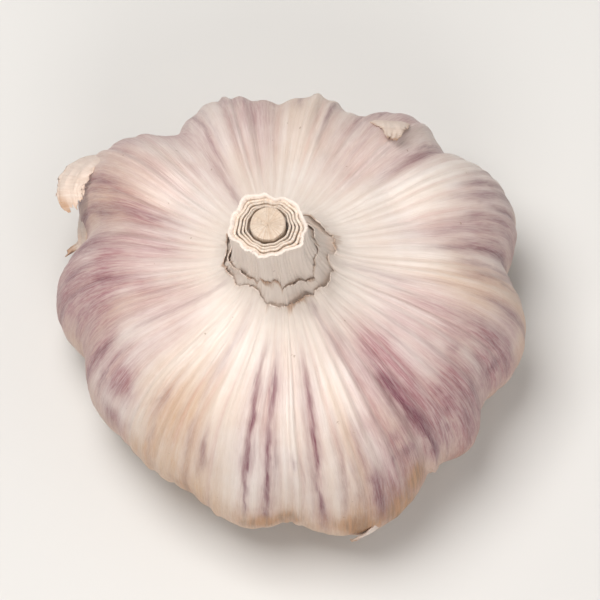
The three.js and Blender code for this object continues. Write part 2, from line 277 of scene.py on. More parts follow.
def pleats(at):
    """Lift of the skin by its ribs: each rises from its groove to its crest by a power of
    (1 - cos) / 2, broad where the power is low, with a fine vein beside it, and all follow
    the solids' fading."""
    rng = np.random.default_rng(5)
    sharp, side, side_height = (rng.uniform(low, high, RIBS)[at.rib] for low, high in (
        (0.45, 1.7), (0.14, 0.36), (0.0, 0.09)))
    wave = (0.5 - 0.5 * np.cos(TURN * at.phase)) ** sharp
    change = (1 + at.noise((0.5, RIBS, 14.0, 11))) * (0.75 + at.noise((0.6, 11, 16.0, 13)))
    main = RIB_GROOVE + (RIB_CREST[at.rib] * change - RIB_GROOVE) * wave
    fine = side_height * (bell(at.phase - side, 0.07) + bell(at.phase - 1 + side, 0.06))
    low = fade(RIB_LOW_END, RIB_FULL_FROM, at.height)
    neck = on_neck(at.height, 6, 3)
    narrow = np.clip(at.radius / FAR_FROM_AXIS, 0.5, 1.0)
    return (main + fine) * (1 - low * RIB_FADING[at.rib]) * blend(1, NECK_PLEATS, neck) * narrow


def groove_lines(at):
    """1 along the bottom of the grooves between the ribs, by a narrow bell, each of its own
    strength that comes and goes along it."""
    between = (at.rib + (at.phase > 0.5)) % RIBS
    strength = np.random.default_rng(6).uniform(0.05, 1.0, RIBS)[between]
    comes = np.clip(0.55 + at.noise((0.6, RIBS, 8.0, 12)), 0, 1)
    neck = on_neck(at.height, 8, 2)
    return strength * comes * bell(np.minimum(at.phase, 1 - at.phase), 0.14) * (1 - 0.5 * neck)


def edge_wander(at):
    """How far, in degrees, the outermost skin's edge strays from its place."""
    return EDGE_WANDER * at.noise((1, 12, 7.0, 21), (0.45, 90, 1.6, 22))


def curled_edge(at):
    """Where the outermost skin starts at the front, its edge stands up and settles by an
    exponential over a few millimetres, and the skin beside it is drawn in by a bell."""
    apart = turn_apart(360 * at.turns, OUTER_SKIN_STARTS + edge_wander(at))
    inward = apart * TURN / 360 * at.radius
    settling = np.exp(-np.maximum(inward, 0) / EDGE_SETTLES)
    stands = EDGE_STANDS * settling * ramp(inward, EDGE_BLUR)
    uneven = 0.8 + at.noise((0.5, 9, 6.0, 24))
    on_body = smooth_step(5, 14, at.height) * fade(32, 39, at.height)
    return on_body * (stands * uneven - 0.3 * bell(inward + 0.7, 0.6))


def outer_skin(at):
    """1 where the outermost skin is still on, 0 where it is torn off, sharp at its edges."""
    degrees, wander = 360 * (at.turns % 1.0), edge_wander(at)
    from_start = degrees - (OUTER_SKIN_STARTS + wander)
    from_end = (OUTER_SKIN_ENDS + 1.5 * wander) - degrees
    on = ramp(from_start, OUTER_SKIN_BLUR) + ramp(from_end, OUTER_SKIN_BLUR)
    ragged = at.noise((0.16, 120, 1.4, 23))
    for azimuth, middle, breadth, tall in TORN_WINDOWS:
        aside = (degrees - azimuth + 0.6 * wander) / breadth
        above = (at.height - middle) / tall
        off = np.abs(aside) ** 2.2 + np.abs(above) ** 2.6 + ragged
        on = on * ramp(off - 1, WINDOW_BLUR)
    return np.clip(on, 0, 1)


def dents(at):
    """Low unevenness of dry skin: slow swells, crumples that run along the veins, and
    tight folds where the neck is drawn together."""
    neck = on_neck(at.height, 3, 4)
    slow = at.noise((0.22, 26, 11.0, 31), (0.1, 60, 6.0, 32))
    fine = at.noise((0.035, 230, 2.2, 33), (0.03, 330, 9.0, 34))
    folds = at.noise((0.2, 23, 9.0, 35), (0.09, 61, 7.0, 36))
    return (1 - neck) * (slow + fine) + neck * folds


# The half outline from the root end to the neck's cut, and the length along it.
OUTLINE = spline(MERIDIAN, SKIN_ROWS * STEPS_PER_ROW)
OUTLINE_LENGTH = np.concatenate([[0], np.cumsum(np.hypot(*np.diff(OUTLINE, axis=0).T))])
RISING = OUTLINE[:, 1].argmin()     # the outline's lowest point: the ring the bulb rests on


def length_at(height):
    """Length along the half outline up to a height above the ring that the bulb rests on."""
    return np.interp(height, OUTLINE[RISING:, 1], OUTLINE_LENGTH[RISING:])


def meridian_radius(height):
    """Distance of the half outline from the axis, above the ring that the bulb rests on."""
    return np.interp(height, OUTLINE[RISING:, 1], OUTLINE[RISING:, 0])


def round_turns(columns):
    """So many even steps round, in turns, as one row."""
    return np.arange(columns)[None, :] / columns


def columns_round():
    """The skin's columns: number of the rib, phase in it, and turns round."""
    column = np.arange(RIBS * COLUMNS_PER_RIB)[None, :]
    rib, phase = column // COLUMNS_PER_RIB, (column % COLUMNS_PER_RIB) / COLUMNS_PER_RIB
    return rib, phase, RIB_START[rib] + RIB_WIDTH[rib] * phase


class Places:
    """Places on the skin, in rows and columns: the rib, the phase in it, turns round, height
    and length up the half outline, and distance from the axis."""

    def __init__(self, height, length, radius):
        (self.rib, self.phase, self.turns, self.height, self.length,
         self.radius) = np.broadcast_arrays(*columns_round(), height, length, radius)

    def noise(self, *layers):
        """A sum of drifts at these places."""
        return drifts(self.turns, self.length, *layers)


def skin_places(height, length, radius):
    """The skin's places at the given rows with their masks, and how far the skin is lifted
    there: its pleats, dents, the outermost skin, its curled edge and the streaks."""
    at = Places(height, length, radius)
    at.outer, at.groove = outer_skin(at), groove_lines(at)
    at.streak, at.halo = streak_masks(at)
    thin = 1 - on_neck(height, 1, 3)
    lift = pleats(at) + dents(at) + OUTER_SKIN_THICK * (at.outer - 0.5) * thin
    return at, lift - STREAK_DEPTH * at.streak + curled_edge(at)


# ---- markings of the skin, some of them painted shade

# Where the skin is mauve, and where a yellow clove shows through: middle and half breadth
# in degrees, and strength. The mauve on the left (153 to 211 degrees) and on the right
# (300 to 343 degrees) is partly painted shade of the sides, and the tan at 359 degrees is
# partly painted shade in the hollow between two lobes.
MAUVE_AND_SIDE_SHADE_ZONES = [
    (322, 13, 0.85), (343, 10, 0.75), (300, 6, 0.4), (211, 7, 0.4), (174, 15, 0.85),
    (197, 9, 0.6), (153, 10, 0.35), (267, 14, 0.12), (16, 9, 0.35), (60, 16, 0.5),
    (100, 10, 0.35), (130, 14, 0.6),
]
TAN_AND_HOLLOW_SHADE_ZONES = [
    (233, 12, 0.9), (359, 8, 0.7), (88, 12, 0.45), (153, 9, 0.6), (288, 4, 0.5), (193, 5, 0.6),
    (304, 4, 0.4),
]

# Darker mauve patches, and stains from the soil: middle (degrees, height), half breadth in
# degrees, half height, strength. The mauve patches on the left and right sides are partly
# painted shade, and the soil stains round the lower rim, most of all near 300 degrees, are
# partly painted shade and warm bounce.
MAUVE_AND_SIDE_SHADE_PATCHES = [
    (301, 21, 9, 10, 1.0), (304, 22, 6, 7, 1.0), (304, 28, 4, 5, 0.7), (314, 34, 6, 5, 0.8),
    (312, 24, 4, 6, 0.5), (341, 22, 6, 6, 0.8), (328, 25, 7, 9, 0.5), (211, 27, 4, 4, 0.7),
    (215, 18, 4, 4, 0.6), (180, 22, 5, 5, 0.7), (188, 27, 7, 8, 0.5), (169, 21, 5, 6, 0.5),
    (62, 22, 8, 7, 0.6), (98, 30, 6, 6, 0.5), (128, 20, 8, 8, 0.5), (18, 19, 5, 5, 0.4),
]
SOIL_AND_RIM_SHADE_STAINS = [
    (287, 13.5, 9, 5.5, 0.95), (299, 14, 7, 7, 1.0), (304, 18.5, 5, 4.5, 1.1),
    (264, 13, 13, 4.5, 0.9), (240, 13, 9, 5.5, 0.7), (324, 10, 12, 6, 0.5), (14, 10, 8, 7, 0.4),
    (110, 7, 14, 6, 0.5), (186, 8, 14, 6, 0.42), (60, 6, 18, 6, 0.4),
]

# Purple streaks along the veins: place (degrees) and height of the upper end, the same of
# the lower end, half width in mm, strength.
STREAKS = [
    (256.8, 40, 256.8, 16, 0.42, 0.95), (258.6, 34, 258.0, 22, 0.3, 0.35),
    (263.6, 40, 262.6, 13, 0.45, 1.05), (265.6, 36, 265.0, 24, 0.3, 0.4),
    (279.6, 40, 276.6, 25, 0.4, 1.0), (276.8, 30, 278.4, 12, 0.4, 0.9),
    (243.4, 33, 243.2, 22, 0.5, 0.55), (226.3, 36, 225.8, 26, 0.4, 0.5),
    (212.0, 30, 211.0, 25, 1.2, 0.75), (210.8, 22, 212.0, 16, 1.3, 0.65),
    (285.8, 36, 283.6, 16, 0.4, 0.4), (291.2, 35, 290.2, 24, 0.35, 0.5),
    (309.4, 38, 312.4, 18, 0.42, 1.5), (309.8, 37, 311.0, 25, 0.85, 1.5),
    (309.4, 38, 310.2, 30, 1.5, 0.9), (292.3, 28, 293.8, 12, 0.75, 0.95),
    (296.6, 25, 297.4, 12, 0.9, 0.55), (301.0, 30, 301.6, 14, 0.5, 0.4),
    (167.0, 34, 168.4, 18, 0.55, 0.7), (175.2, 33, 176.0, 22, 0.4, 0.45),
    (182.7, 33, 178.8, 18, 0.45, 0.45), (179.0, 23, 178.4, 15, 1.3, 0.6),
    (10.2, 36, 11.8, 17, 0.5, 0.85), (12.8, 34, 13.6, 24, 0.35, 0.55),
    (19.2, 34, 19.4, 20, 0.5, 0.6), (0.2, 35, 5.0, 18, 0.4, 0.45),
    (324.6, 27, 322.2, 14, 0.6, 0.7), (236, 44, 238, 33, 0.45, 0.35),
    (299, 45, 301, 33, 0.5, 0.55), (303, 43, 304, 34, 0.8, 0.35), (352, 44, 354, 35, 0.5, 0.35),
    (200, 45, 201, 34, 0.45, 0.4), (121, 45, 122, 34, 0.5, 0.4),
]
# Dark marks: degrees, height, half width across and along the veins in mm, strength.
SPOTS = [
    (302.0, 29.0, 0.6, 0.7, 0.6), (304.4, 25.6, 1.0, 0.6, 0.6), (321.4, 29.7, 0.5, 0.6, 0.65),
    (321.9, 28.0, 0.7, 0.5, 0.5), (318.0, 22.8, 0.5, 0.7, 0.5), (330.2, 24.5, 0.9, 1.3, 0.6),
    (309.6, 34.0, 1.0, 2.2, 1.0), (310.3, 31.0, 0.7, 2.0, 0.9), (292.4, 20.5, 1.0, 2.0, 0.9),
    (294.6, 15.5, 1.0, 1.6, 0.7), (291.9, 24.4, 0.7, 1.6, 0.7), (303.1, 25.4, 0.9, 0.9, 0.8),
    (298.9, 26.2, 0.7, 0.8, 0.6), (293.7, 22.5, 0.9, 1.2, 0.6), (320.0, 26.0, 0.5, 0.9, 0.6),
    (340.8, 21.4, 1.4, 1.1, 0.8), (344.2, 24.7, 0.7, 0.8, 0.6), (270.5, 28.8, 0.5, 0.8, 0.4),
    (205.8, 24.0, 0.6, 0.8, 0.4), (335.5, 31.0, 0.6, 0.5, 0.4),
]
RANDOM_STREAKS = 74
WANDER_SEED, WIDTH_SEED, COMES_SEED = 50, 90, 150      # of the first streak
BARE_FRONT = (216, 312)     # degrees between which the seeded streaks stay faint


def zone_mask(at, zones):
    """A sum of bells round the bulb, their places shifted a little by a drift."""
    degrees = 360 * at.turns + at.noise((3, 40, 9.0, 41))
    return sum(strength * bell(turn_apart(degrees, middle), half)
               for middle, half, strength in zones)


def patch_mask(at, patches, ragged):
    """The strongest of a few bells round their middles, their edges torn by noise."""
    mask, torn = 0.0, ragged * at.noise((1, 60, 3.0, 63), (0.6, 150, 1.8, 64))
    for degrees, middle, breadth, tall, strength in patches:
        aside = turn_apart(360 * at.turns, degrees) / breadth
        away = np.hypot(aside, (at.height - middle) / tall) + torn
        mask = np.maximum(mask, strength * bell(np.maximum(away, 0), 1.0))
    return mask


def streak_list():
    """The named streaks, and seeded ones that carry the same marking round the bulb."""
    rng = np.random.default_rng(77)
    rows = list(STREAKS)
    for _ in range(RANDOM_STREAKS):
        degrees = rng.uniform(0, 360)
        top, bottom = rng.uniform(28, 39), rng.uniform(9, 22)
        faint = BARE_FRONT[0] < degrees < BARE_FRONT[1]
        strength = rng.uniform(0.12, 0.35) if faint else rng.uniform(0.2, 0.8)
        lower = degrees + rng.uniform(-1, 1)
        rows.append((degrees, top, lower, bottom, rng.uniform(0.2, 0.6), strength))
    return rows


def streak_masks(at):
    """Strength of the purple marks, and of the softer wash round them. A streak is a bell
    across a line that runs straight from its upper to its lower end, wanders a little,
    fades at both ends and comes and goes along its length; a spot is a bell both ways."""
    mm_per_degree = TURN / 360 * at.radius
    ragged = at.noise((0.22, 260, 1.3, 48))
    core = halo = np.zeros(at.turns.shape)
    for number, (upper, top, lower, bottom, half, strength) in enumerate(streak_list()):
        middle = blend(lower, upper, np.clip((at.height - bottom) / (top - bottom), 0, 1))
        wander = 0.26 * drift(0.1 * number, at.length, 7, 6.0, WANDER_SEED + number)
        across = turn_apart(360 * at.turns, middle) * mm_per_degree + wander + ragged
        width = half * (1 + 0.5 * drift(0.1 * number, at.length, 7, 4.0, WIDTH_SEED + number))
        ends = smooth_step(bottom - 3, bottom + 5, at.height) * fade(top - 5, top + 1, at.height)
        comes = 0.42 * drift(0.13 * number, at.length, 9, 3.4, COMES_SEED + number)
        comes = np.clip(0.82 + comes, 0, 1)
        core = np.maximum(core, strength * bell(across, width) * ends * comes)
        halo = np.maximum(halo, strength * bell(across, 2.6 * width + 0.3) * ends)
    for degrees, middle, across, along, strength in SPOTS:
        aside = turn_apart(360 * at.turns, degrees) * mm_per_degree + 2 * ragged
        above = at.height - middle + at.noise((0.5, 170, 1.5, 49))
        away = np.hypot(aside / across, above / along)
        core = np.maximum(core, strength * bell(away, 1.0))
        halo = np.maximum(halo, strength * bell(away, 2.4))
    return np.clip(core, 0, 1), np.clip(halo, 0, 1)


def skin_vectors(at):
    """The vectors that the paper material reads, for every place of the skin: its flow,
    (mauve, streak, tan) and (groove, brown, outer skin)."""
    body = smooth_step(2, 12, at.height) * fade(35, 42, at.height)
    patchy = 0.85 + at.noise((0.28, 34, 8.0, 61), (0.28, 70, 4.5, 62))
    # The mauve zones and patches on the left and right sides are partly painted shade.
    mauve = zone_mask(at, MAUVE_AND_SIDE_SHADE_ZONES) * body * patchy + 0.55 * at.halo
    mauve = np.clip(mauve + 0.75 * patch_mask(at, MAUVE_AND_SIDE_SHADE_PATCHES, 0.4), 0, 1)
    # Tan low down: partly the skin's own colour, partly painted warm bounce and shade at the
    # lower rim.
    low = fade(13, 25, at.height + at.noise((2, 24, 9.0, 65)))
    yellow = zone_mask(at, TAN_AND_HOLLOW_SHADE_ZONES) * fade(30, 40, at.height)
    tan = np.clip(yellow + 0.75 * low, 0, 1)
    under = fade(12, 24, at.radius) * fade(3, 9, at.height)
    brown = 0.5 * under + 0.06 * smooth_step(40, 48, at.height)
    # Browner towards the bottom: partly dried skin and soil, partly painted shade and warm
    # bounce at the lower rim.
    brown = brown + 0.36 * fade(8, 24, at.height + at.noise((5, 19, 9.0, 65)))
    brown = np.clip(np.maximum(brown, patch_mask(at, SOIL_AND_RIM_SHADE_STAINS, 0.25)), 0, 1)
    return {"flow": flow(at.turns, at.length), "markings": np.stack([mauve, at.streak, tan], -1),
            "state": np.stack([at.groove, brown, at.outer], -1)}


def flow(turns, length):
    """Where a point is for a pattern that follows the veins: (cos, sin) of the way round,
    and centimetres along."""
    return around(1.0, TURN * turns, 0.1 * length)


# ---- meshes

def grid_quads(rows, columns, closed=True):
    """Faces of a grid whose rows follow one another down a solid's outside and whose
    columns turn anticlockwise. A closed grid meets itself round."""
    last = columns if closed else columns - 1
    row, column = np.meshgrid(np.arange(rows - 1) * columns, np.arange(last), indexing="ij")
    onward = (column + 1) % columns
    corners = [row + column, row + columns + column, row + columns + onward, row + onward]
    return np.stack(corners, -1).reshape(-1, 4)


def fan(pole, ring, turned=False):
    """Triangles from a pole to a closed ring of point numbers."""
    onward = np.roll(ring, -1)
    pair = (onward, ring) if turned else (ring, onward)
    return np.stack([np.full(len(ring), pole), *pair], -1)


def new_object(name, data):
    """An object of the scene that shows the data."""
    made = bpy.data.objects.new(name, data)
    bpy.context.scene.collection.objects.link(made)
    return made


def new_piece(name, points, quads, triangles, vectors):
    """A mesh object from points in millimetres, its faces, and a vector each point for
    every named attribute."""
    mesh = bpy.data.meshes.new(name)
    corners = np.concatenate([quads.ravel(), triangles.ravel()]).astype(np.int32)
    sizes = np.repeat([4, 3], [len(quads), len(triangles)])
    starts = (np.cumsum(sizes) - sizes).astype(np.int32)
    for part, label, values, width in (
            (mesh.vertices, "co", (points * MM).astype(np.float32).ravel(), 3),
            (mesh.loops, "vertex_index", corners, 1), (mesh.polygons, "loop_start", starts, 1)):
        part.add(len(values) // width)
        part.foreach_set(label, values)
    mesh.update(calc_edges=True)
    mesh.shade_smooth()
    for label, values in vectors.items():
        layer = mesh.attributes.new(label, "FLOAT_VECTOR", "POINT")
        layer.data.foreach_set("vector", values.astype(np.float32).ravel())
    return new_object(name, mesh)


def round_piece(name, rings, poles, vectors):
    """Closed bodies in one mesh, each from its rings, which follow one another down its
    outside, and a pole at each end. A pole's vectors are those of the first or last point."""
    rows, columns = rings.shape[-3:-1]
    size = rows * columns
    points = np.concatenate([rings.reshape(-1, size, 3), np.reshape(poles, (-1, 2, 3))], 1)
    start = (size + 2) * np.arange(len(points))[:, None, None]
    ring = np.arange(columns)
    ends = np.concatenate([fan(size, ring), fan(size + 1, ring + size - columns, True)])
    nearest = np.append(np.arange(size), [0, size - 1])
    return new_piece(
        name, points.reshape(-1, 3), (grid_quads(rows, columns) + start).reshape(-1, 4),
        (ends + start).reshape(-1, 3),
        {label: grid.reshape(-1, size, 3)[:, nearest] for label, grid in vectors.items()})


def dress(piece, material, slot, *nodes):
    """Gives a piece its material, attaches it to the root body and hides the solids that it
    stands for.
    """
    piece.data.materials.append(material)
    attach(piece, "root")
    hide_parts(*nodes)


# ---- material tools

def paint(red, green, blue):
    """A colour given as 0 to 255 values of the screen, as linear light."""
    screen = np.array([red, green, blue]) / 255
    linear = np.where(screen <= 0.04045, screen / 12.92, ((screen + 0.055) / 1.055) ** 2.4)
    return (*linear.tolist(), 1.0)


class Board:
    """A node tree with short calls for the nodes that the materials use."""

    def __init__(self, tree):
        self.tree = tree

    def plug(self, value, socket):
        """Links an output to the socket, or sets the socket to a plain value."""
        if isinstance(value, bpy.types.NodeSocket):
            self.tree.links.new(value, socket)
        else:
            socket.default_value = value

    def node(self, kind, inputs=(), **settings):
        """A new node's outputs. Its inputs are given by name or number."""
        made = self.tree.nodes.new(kind)
        for key, value in settings.items():
            setattr(made, key, value)
        for key, value in dict(inputs).items():
            self.plug(value, made.inputs[key])
        return made.outputs

    def sum(self, operation, a, b=0.0, c=0.0, clamp=False):
        return self.node("ShaderNodeMath", enumerate((a, b, c)),
                         operation=operation, use_clamp=clamp)[0]

    def times(self, a, b):
        return self.sum("MULTIPLY", a, b)

    def mix(self, factor, a, b):
        return self.node("ShaderNodeMix", {0: factor, 6: a, 7: b}, data_type="RGBA")[2]

    def spread(self, value, low, high, to_low=0.0, to_high=1.0):
        """The value's range from low to high as to_low to to_high, smooth between them."""
        return self.node("ShaderNodeMapRange", enumerate((value, low, high, to_low, to_high)),
                         interpolation_type="SMOOTHSTEP")[0]

    def eased(self, value, at_none, at_full):
        """at_none where the value is 0, at_full where it is 1, smooth between them."""
        return self.spread(value, 0.0, 1.0, at_none, at_full)

    def tint(self, colour, mask, strength, other):
        """The colour, turned to another by a mask of the given strength."""
        return self.mix(self.times(mask, strength), colour, other)

    def noise(self, vector, scale, detail=2.0, rough=0.5):
        return self.node("ShaderNodeTexNoise", {"Vector": vector, "Scale": scale,
                                                "Detail": detail, "Roughness": rough})[0]

    def parts(self, vector):
        return self.node("ShaderNodeSeparateXYZ", {0: vector})

    def scaled(self, vector, across, along):
        """The flow vector stretched: across for its two round parts, along for the third."""
        shares = zip(self.parts(vector), (across, across, along))
        return self.node("ShaderNodeCombineXYZ",
                         enumerate(self.times(part, share) for part, share in shares))[0]

    def raised(self, height, strength, distance):
        """A normal from a height, with the distance that a height of 1 stands for."""
        return self.node("ShaderNodeBump", {"Strength": strength, "Distance": distance,
                                            "Height": height})[0]

    def attribute(self, name):
        return self.node("ShaderNodeAttribute", attribute_name=name)["Vector"]

    def place(self):
        return self.node("ShaderNodeTexCoord")["Object"]

    def use(self, group, **values):
        return self.node("ShaderNodeGroup", values, node_tree=group)


def new_group(name, inputs, outputs):
    """A shader node group: its board, what it is given and the inputs of its output node."""
    tree = bpy.data.node_groups.new(name, "ShaderNodeTree")
    for way, sockets in (("INPUT", inputs), ("OUTPUT", outputs)):
        for label, kind in sockets.items():
            tree.interface.new_socket(label, in_out=way, socket_type=kind)
    board = Board(tree)
    return board, board.node("NodeGroupInput"), tree.nodes.new("NodeGroupOutput").inputs


def new_material(name):
    """A material with a Principled shader, the board of its nodes, and the shader's inputs."""
    material = bpy.data.materials.new(name)
    material.use_nodes = True
    nodes = material.node_tree.nodes
    nodes.clear()
    board, shader = Board(material.node_tree), nodes.new("ShaderNodeBsdfPrincipled")
    board.node("ShaderNodeOutputMaterial", {"Surface": shader.outputs[0]})
    return material, board, shader.inputs


VECTOR, VALUE = "NodeSocketVector", "NodeSocketFloat"


def fibre_group():
    """Dry plant fibre: fine lines that run along the flow, and slower bands of the same.
    Fine and Bands both go from 0 to 1."""
    board, given, gives = new_group(
        "plant_fibre", {"Flow": VECTOR, "Across": VALUE, "Along": VALUE},
        {"Fine": VALUE, "Bands": VALUE})
    stretched = board.scaled(given["Flow"], given["Across"], given["Along"])
    fine, bands = board.noise(stretched, 4.0, 3.0, 0.62), board.noise(stretched, 1.0)
    board.plug(board.spread(fine, 0.3, 0.7), gives["Fine"])
    board.plug(board.spread(bands, 0.32, 0.68), gives["Bands"])
    return board.tree


def fleck_group():
    """Small flecks and stains: Flecks is 1 in scattered specks, Stain drifts slowly."""
    board, given, gives = new_group(
        "flecks_and_stain", {"Place": VECTOR, "Size": VALUE, "Amount": VALUE},
        {"Flecks": VALUE, "Stain": VALUE})
    dots = board.noise(given["Place"], given["Size"], 2.0, 0.6)
    edge = board.sum("SUBTRACT", 0.78, board.times(given["Amount"], 0.16))
    board.plug(board.spread(dots, edge, board.sum("ADD", edge, 0.05)), gives["Flecks"])
    slow = board.noise(given["Place"], board.times(given["Size"], 0.12), 3.0, 0.6)
    board.plug(board.spread(slow, 0.35, 0.68), gives["Stain"])
    return board.tree


FIBRE = fibre_group()
FLECKS = fleck_group()

CREAM = paint(227, 213, 203)
PALE = paint(238, 228, 220)
IVORY_GLOW = paint(250, 234, 221)
BEIGE = paint(212, 184, 160)
TAN = paint(206, 164, 122)
AMBER = paint(190, 140, 98)
MAUVE = paint(165, 114, 119)
PURPLE = paint(110, 46, 66)
ROSE = paint(186, 138, 130)
SOIL = paint(140, 104, 74)
BARK = paint(128, 94, 66)
PAPER_RELIEF, HUSK_RELIEF = 0.09 * MM, 0.15 * MM
# The neck's ivory is partly its own cream colour and partly a painted glow of light through its
# thin sheaths, lifting its shade.
NECK_GLOW_HEIGHTS = NECK_BASE + np.array([-4, 5])     # heights between which the skin turns to ivory


def paper_material():
    """Papery skin: cream with fibre bands, a tan clove showing through, a mauve wash,
    purple brush strokes along the fibre, rosy grooves, an ivory neck, and brown where it dried
    or lay in the soil. Part of the mauve on the sides and of the tan and brown low down is
    painted shade and warm bounce, and part of the neck's ivory is a painted glow."""
    material, board, shader = new_material("garlic_paper")
    along_veins = board.attribute("flow")
    fibre = board.use(FIBRE, Flow=along_veins, Across=24.0, Along=0.55)
    thread = board.use(FIBRE, Flow=along_veins, Across=58.0, Along=1.4)
    flecks = board.use(FLECKS, Place=board.place(), Size=900.0, Amount=0.35)
    mauve, streak, tan = board.parts(board.attribute("markings"))
    groove, brown, outer = board.parts(board.attribute("state"))

    brushed = board.times(mauve, board.eased(fibre["Fine"], 0.68, 1.0))
    # Ivory up the neck: partly its own colour, partly painted glow that lifts its shade.
    neck = board.spread(board.parts(along_veins)[2], *(0.1 * length_at(NECK_GLOW_HEIGHTS)))
    stroke = board.sum("MULTIPLY_ADD", fibre["Fine"], 0.25, board.times(thread["Bands"], 0.2))
    inked = board.sum("MULTIPLY", streak, board.sum("ADD", stroke, 0.78), clamp=True)
    colour = board.mix(fibre["Bands"], CREAM, PALE)
    for mask, strength, other in (
            (flecks["Stain"], 0.3, BEIGE), (tan, board.eased(fibre["Bands"], 0.85, 0.6), TAN),
            (brushed, board.eased(outer, 0.85, 1.0), MAUVE), (groove, 0.42, ROSE),
            (neck, 0.7, IVORY_GLOW), (inked, 0.9, PURPLE)):
        colour = board.tint(colour, mask, strength, other)
    colour = board.mix(board.spread(thread["Fine"], 0.15, 0.95, 0.0, 0.16), colour, PALE)
    # The brown channel is dry skin and soil, and low down also painted shade and warm bounce.
    dry_soil_and_shade = board.spread(board.sum("MULTIPLY_ADD", fibre["Fine"], 0.2, brown), 0.2, 1.1)
    earth_and_shade_brown = board.mix(board.eased(thread["Bands"], 0.1, 0.7), AMBER, SOIL)
    colour = board.mix(dry_soil_and_shade, colour, earth_and_shade_brown)
    colour = board.tint(colour, flecks["Flecks"], 0.5, SOIL)

    relief = board.sum("MULTIPLY_ADD", fibre["Fine"], 0.75, board.times(thread["Fine"], 0.4))
    crinkle = board.noise(board.scaled(along_veins, 9.0, 2.6), 2.0, 4.0, 0.6)
    relief = board.sum("MULTIPLY_ADD", crinkle, 1.3, relief)
    board.plug(colour, shader["Base Color"])
    board.plug(board.eased(fibre["Bands"], 0.38, 0.52), shader["Roughness"])
    board.plug(board.raised(relief, 0.6, PAPER_RELIEF), shader["Normal"])
    shader["Sheen Weight"].default_value = 0.06
    return material


def husk_material(name, dark, light, across, along, fleck_amount):
    """Neck sheaths, the stalk and the roots: fibre bands between two colours, darker lines,
    stains and flecks."""
    material, board, shader = new_material(name)
    fibre = board.use(FIBRE, Flow=board.attribute("flow"), Across=across, Along=along)
    flecks = board.use(FLECKS, Place=board.place(), Size=1100.0, Amount=fleck_amount)
    colour = board.mix(fibre["Bands"], dark, light)
    colour = board.mix(board.eased(fibre["Fine"], 0.45, 0.0), colour, dark)
    colour = board.tint(colour, flecks["Stain"], 0.4, dark)
    colour = board.tint(colour, flecks["Flecks"], 0.6, BARK)
    board.plug(colour, shader["Base Color"])
    board.plug(board.eased(fibre["Bands"], 0.72, 0.55), shader["Roughness"])
    board.plug(board.raised(fibre["Fine"], 0.6, HUSK_RELIEF), shader["Normal"])
    return material


# ---- pieces

RIM_THICK = 0.4             # the outermost sheath at the neck's cut
SHEATH_FLOOR = 58.3         # how deep one can see between the sheaths


def bulb_skin():
    """The whole skin as one closed surface: down the outside, over the ring it rests on and
    into the root hole; at the top over the sheath's edge and down the stalk's hole."""
    rows = slice(None, None, -STEPS_PER_ROW)
    radius, height = OUTLINE[rows, :1], OUTLINE[rows, 1:]
    at, lift = skin_places(height, OUTLINE_LENGTH[rows, None], radius)
    points = skin_point(wound(TURN * at.turns, height), radius, height, lift)
    turns, hole = at.turns[0], STALK_RADIUS + FIT_GAP
    azimuth = wound(TURN * turns, NECK_TOP)
    rim = np.hypot(*(points[0, :, :2] - NECK_LEAN).T)
    points[0, :, 2] += drifts(turns, 0.0, (0.12, 17, 5.0, 71), (0.08, 90, 5.0, 72))
    inner_rim = points[0].copy()
    middle = polar(0.0, azimuth, NECK_TOP)[:, :2]
    inner_rim[:, :2] = blend(points[0, :, :2], middle, (RIM_THICK / rim)[:, None])
    upper = [polar(radius, azimuth, height) for radius, height in (
        (hole, STALK_FOOT - FIT_GAP), (hole, SHEATH_FLOOR - 1), (hole, SHEATH_FLOOR),
        (rim - 1.0, SHEATH_FLOOR), (rim - 0.7, 0.5 * (SHEATH_FLOOR + NECK_TOP)))] + [inner_rim]
    lower = [polar(radius, TURN * turns, height) for radius, height in (
        (ROOT_HOLE_WALL + 0.5, 0.7), (ROOT_HOLE_WALL, ROOT_HOLE_LIP),
        (ROOT_HOLE_WALL, ROOT_HOLE_CEILING))]
    row = np.arange(-len(upper), len(points) + len(lower)).clip(0, len(points) - 1)
    return round_piece(
        "bulb_skin", np.concatenate([upper, points, lower]),
        [polar(0.0, 0.0, STALK_FOOT - FIT_GAP), polar(0.0, 0.0, ROOT_HOLE_CEILING)],
        {label: values[row] for label, values in skin_vectors(at).items()})


def flake_vectors(turns, length, mauve, tan, brown):
    """The vectors that the paper material reads, for a flake without streaks or grooves."""
    turns, length, mauve, tan, brown, none, outer = np.broadcast_arrays(
        turns, length, mauve, tan, brown, 0.0, 1.0)
    return {"flow": flow(turns, length), "markings": np.stack([mauve, none, tan], -1),
            "state": np.stack([none, brown, outer], -1)}


def edge_strip(edge, below, closed):
    """Faces that join the edge of a sheet's outer face to its inner face."""
    onward = np.roll(edge, -1) if closed else edge[1:]
    first = edge if closed else edge[:-1]
    return np.stack([first, onward, onward + below, first + below], -1)


def sheet(name, outer, inner, vectors, closed=False):
    """A thin closed sheet from the grids of its outer and inner face, and the edges
    between them."""
    rows, columns = outer.shape[:2]
    count = rows * columns
    index, face = np.arange(count).reshape(rows, columns), grid_quads(rows, columns, closed)
    quads = [face, (face + count)[:, ::-1],
             edge_strip(index[0], count, closed), edge_strip(index[-1], count, closed)[:, ::-1]]
    if not closed:
        quads += [edge_strip(index[:, 0], count, False)[:, ::-1],
                  edge_strip(index[:, -1], count, False)]
    both = {label: np.stack([grid, grid]) for label, grid in vectors.items()}
    return new_piece(name, np.stack([outer, inner]).reshape(-1, 3), np.concatenate(quads),
                     np.zeros((0, 3), int), both)


SHEATH_COLUMNS, SHEATH_ROWS = 240, 14
SHEATHS = [  # radius, thickness, height of its cut, seed
    (4.32, 0.4, 59.5, 201), (3.82, 0.36, 59.8, 202),
    (3.37, 0.32, 59.6, 203), (2.97, 0.26, 60.0, 204),
]


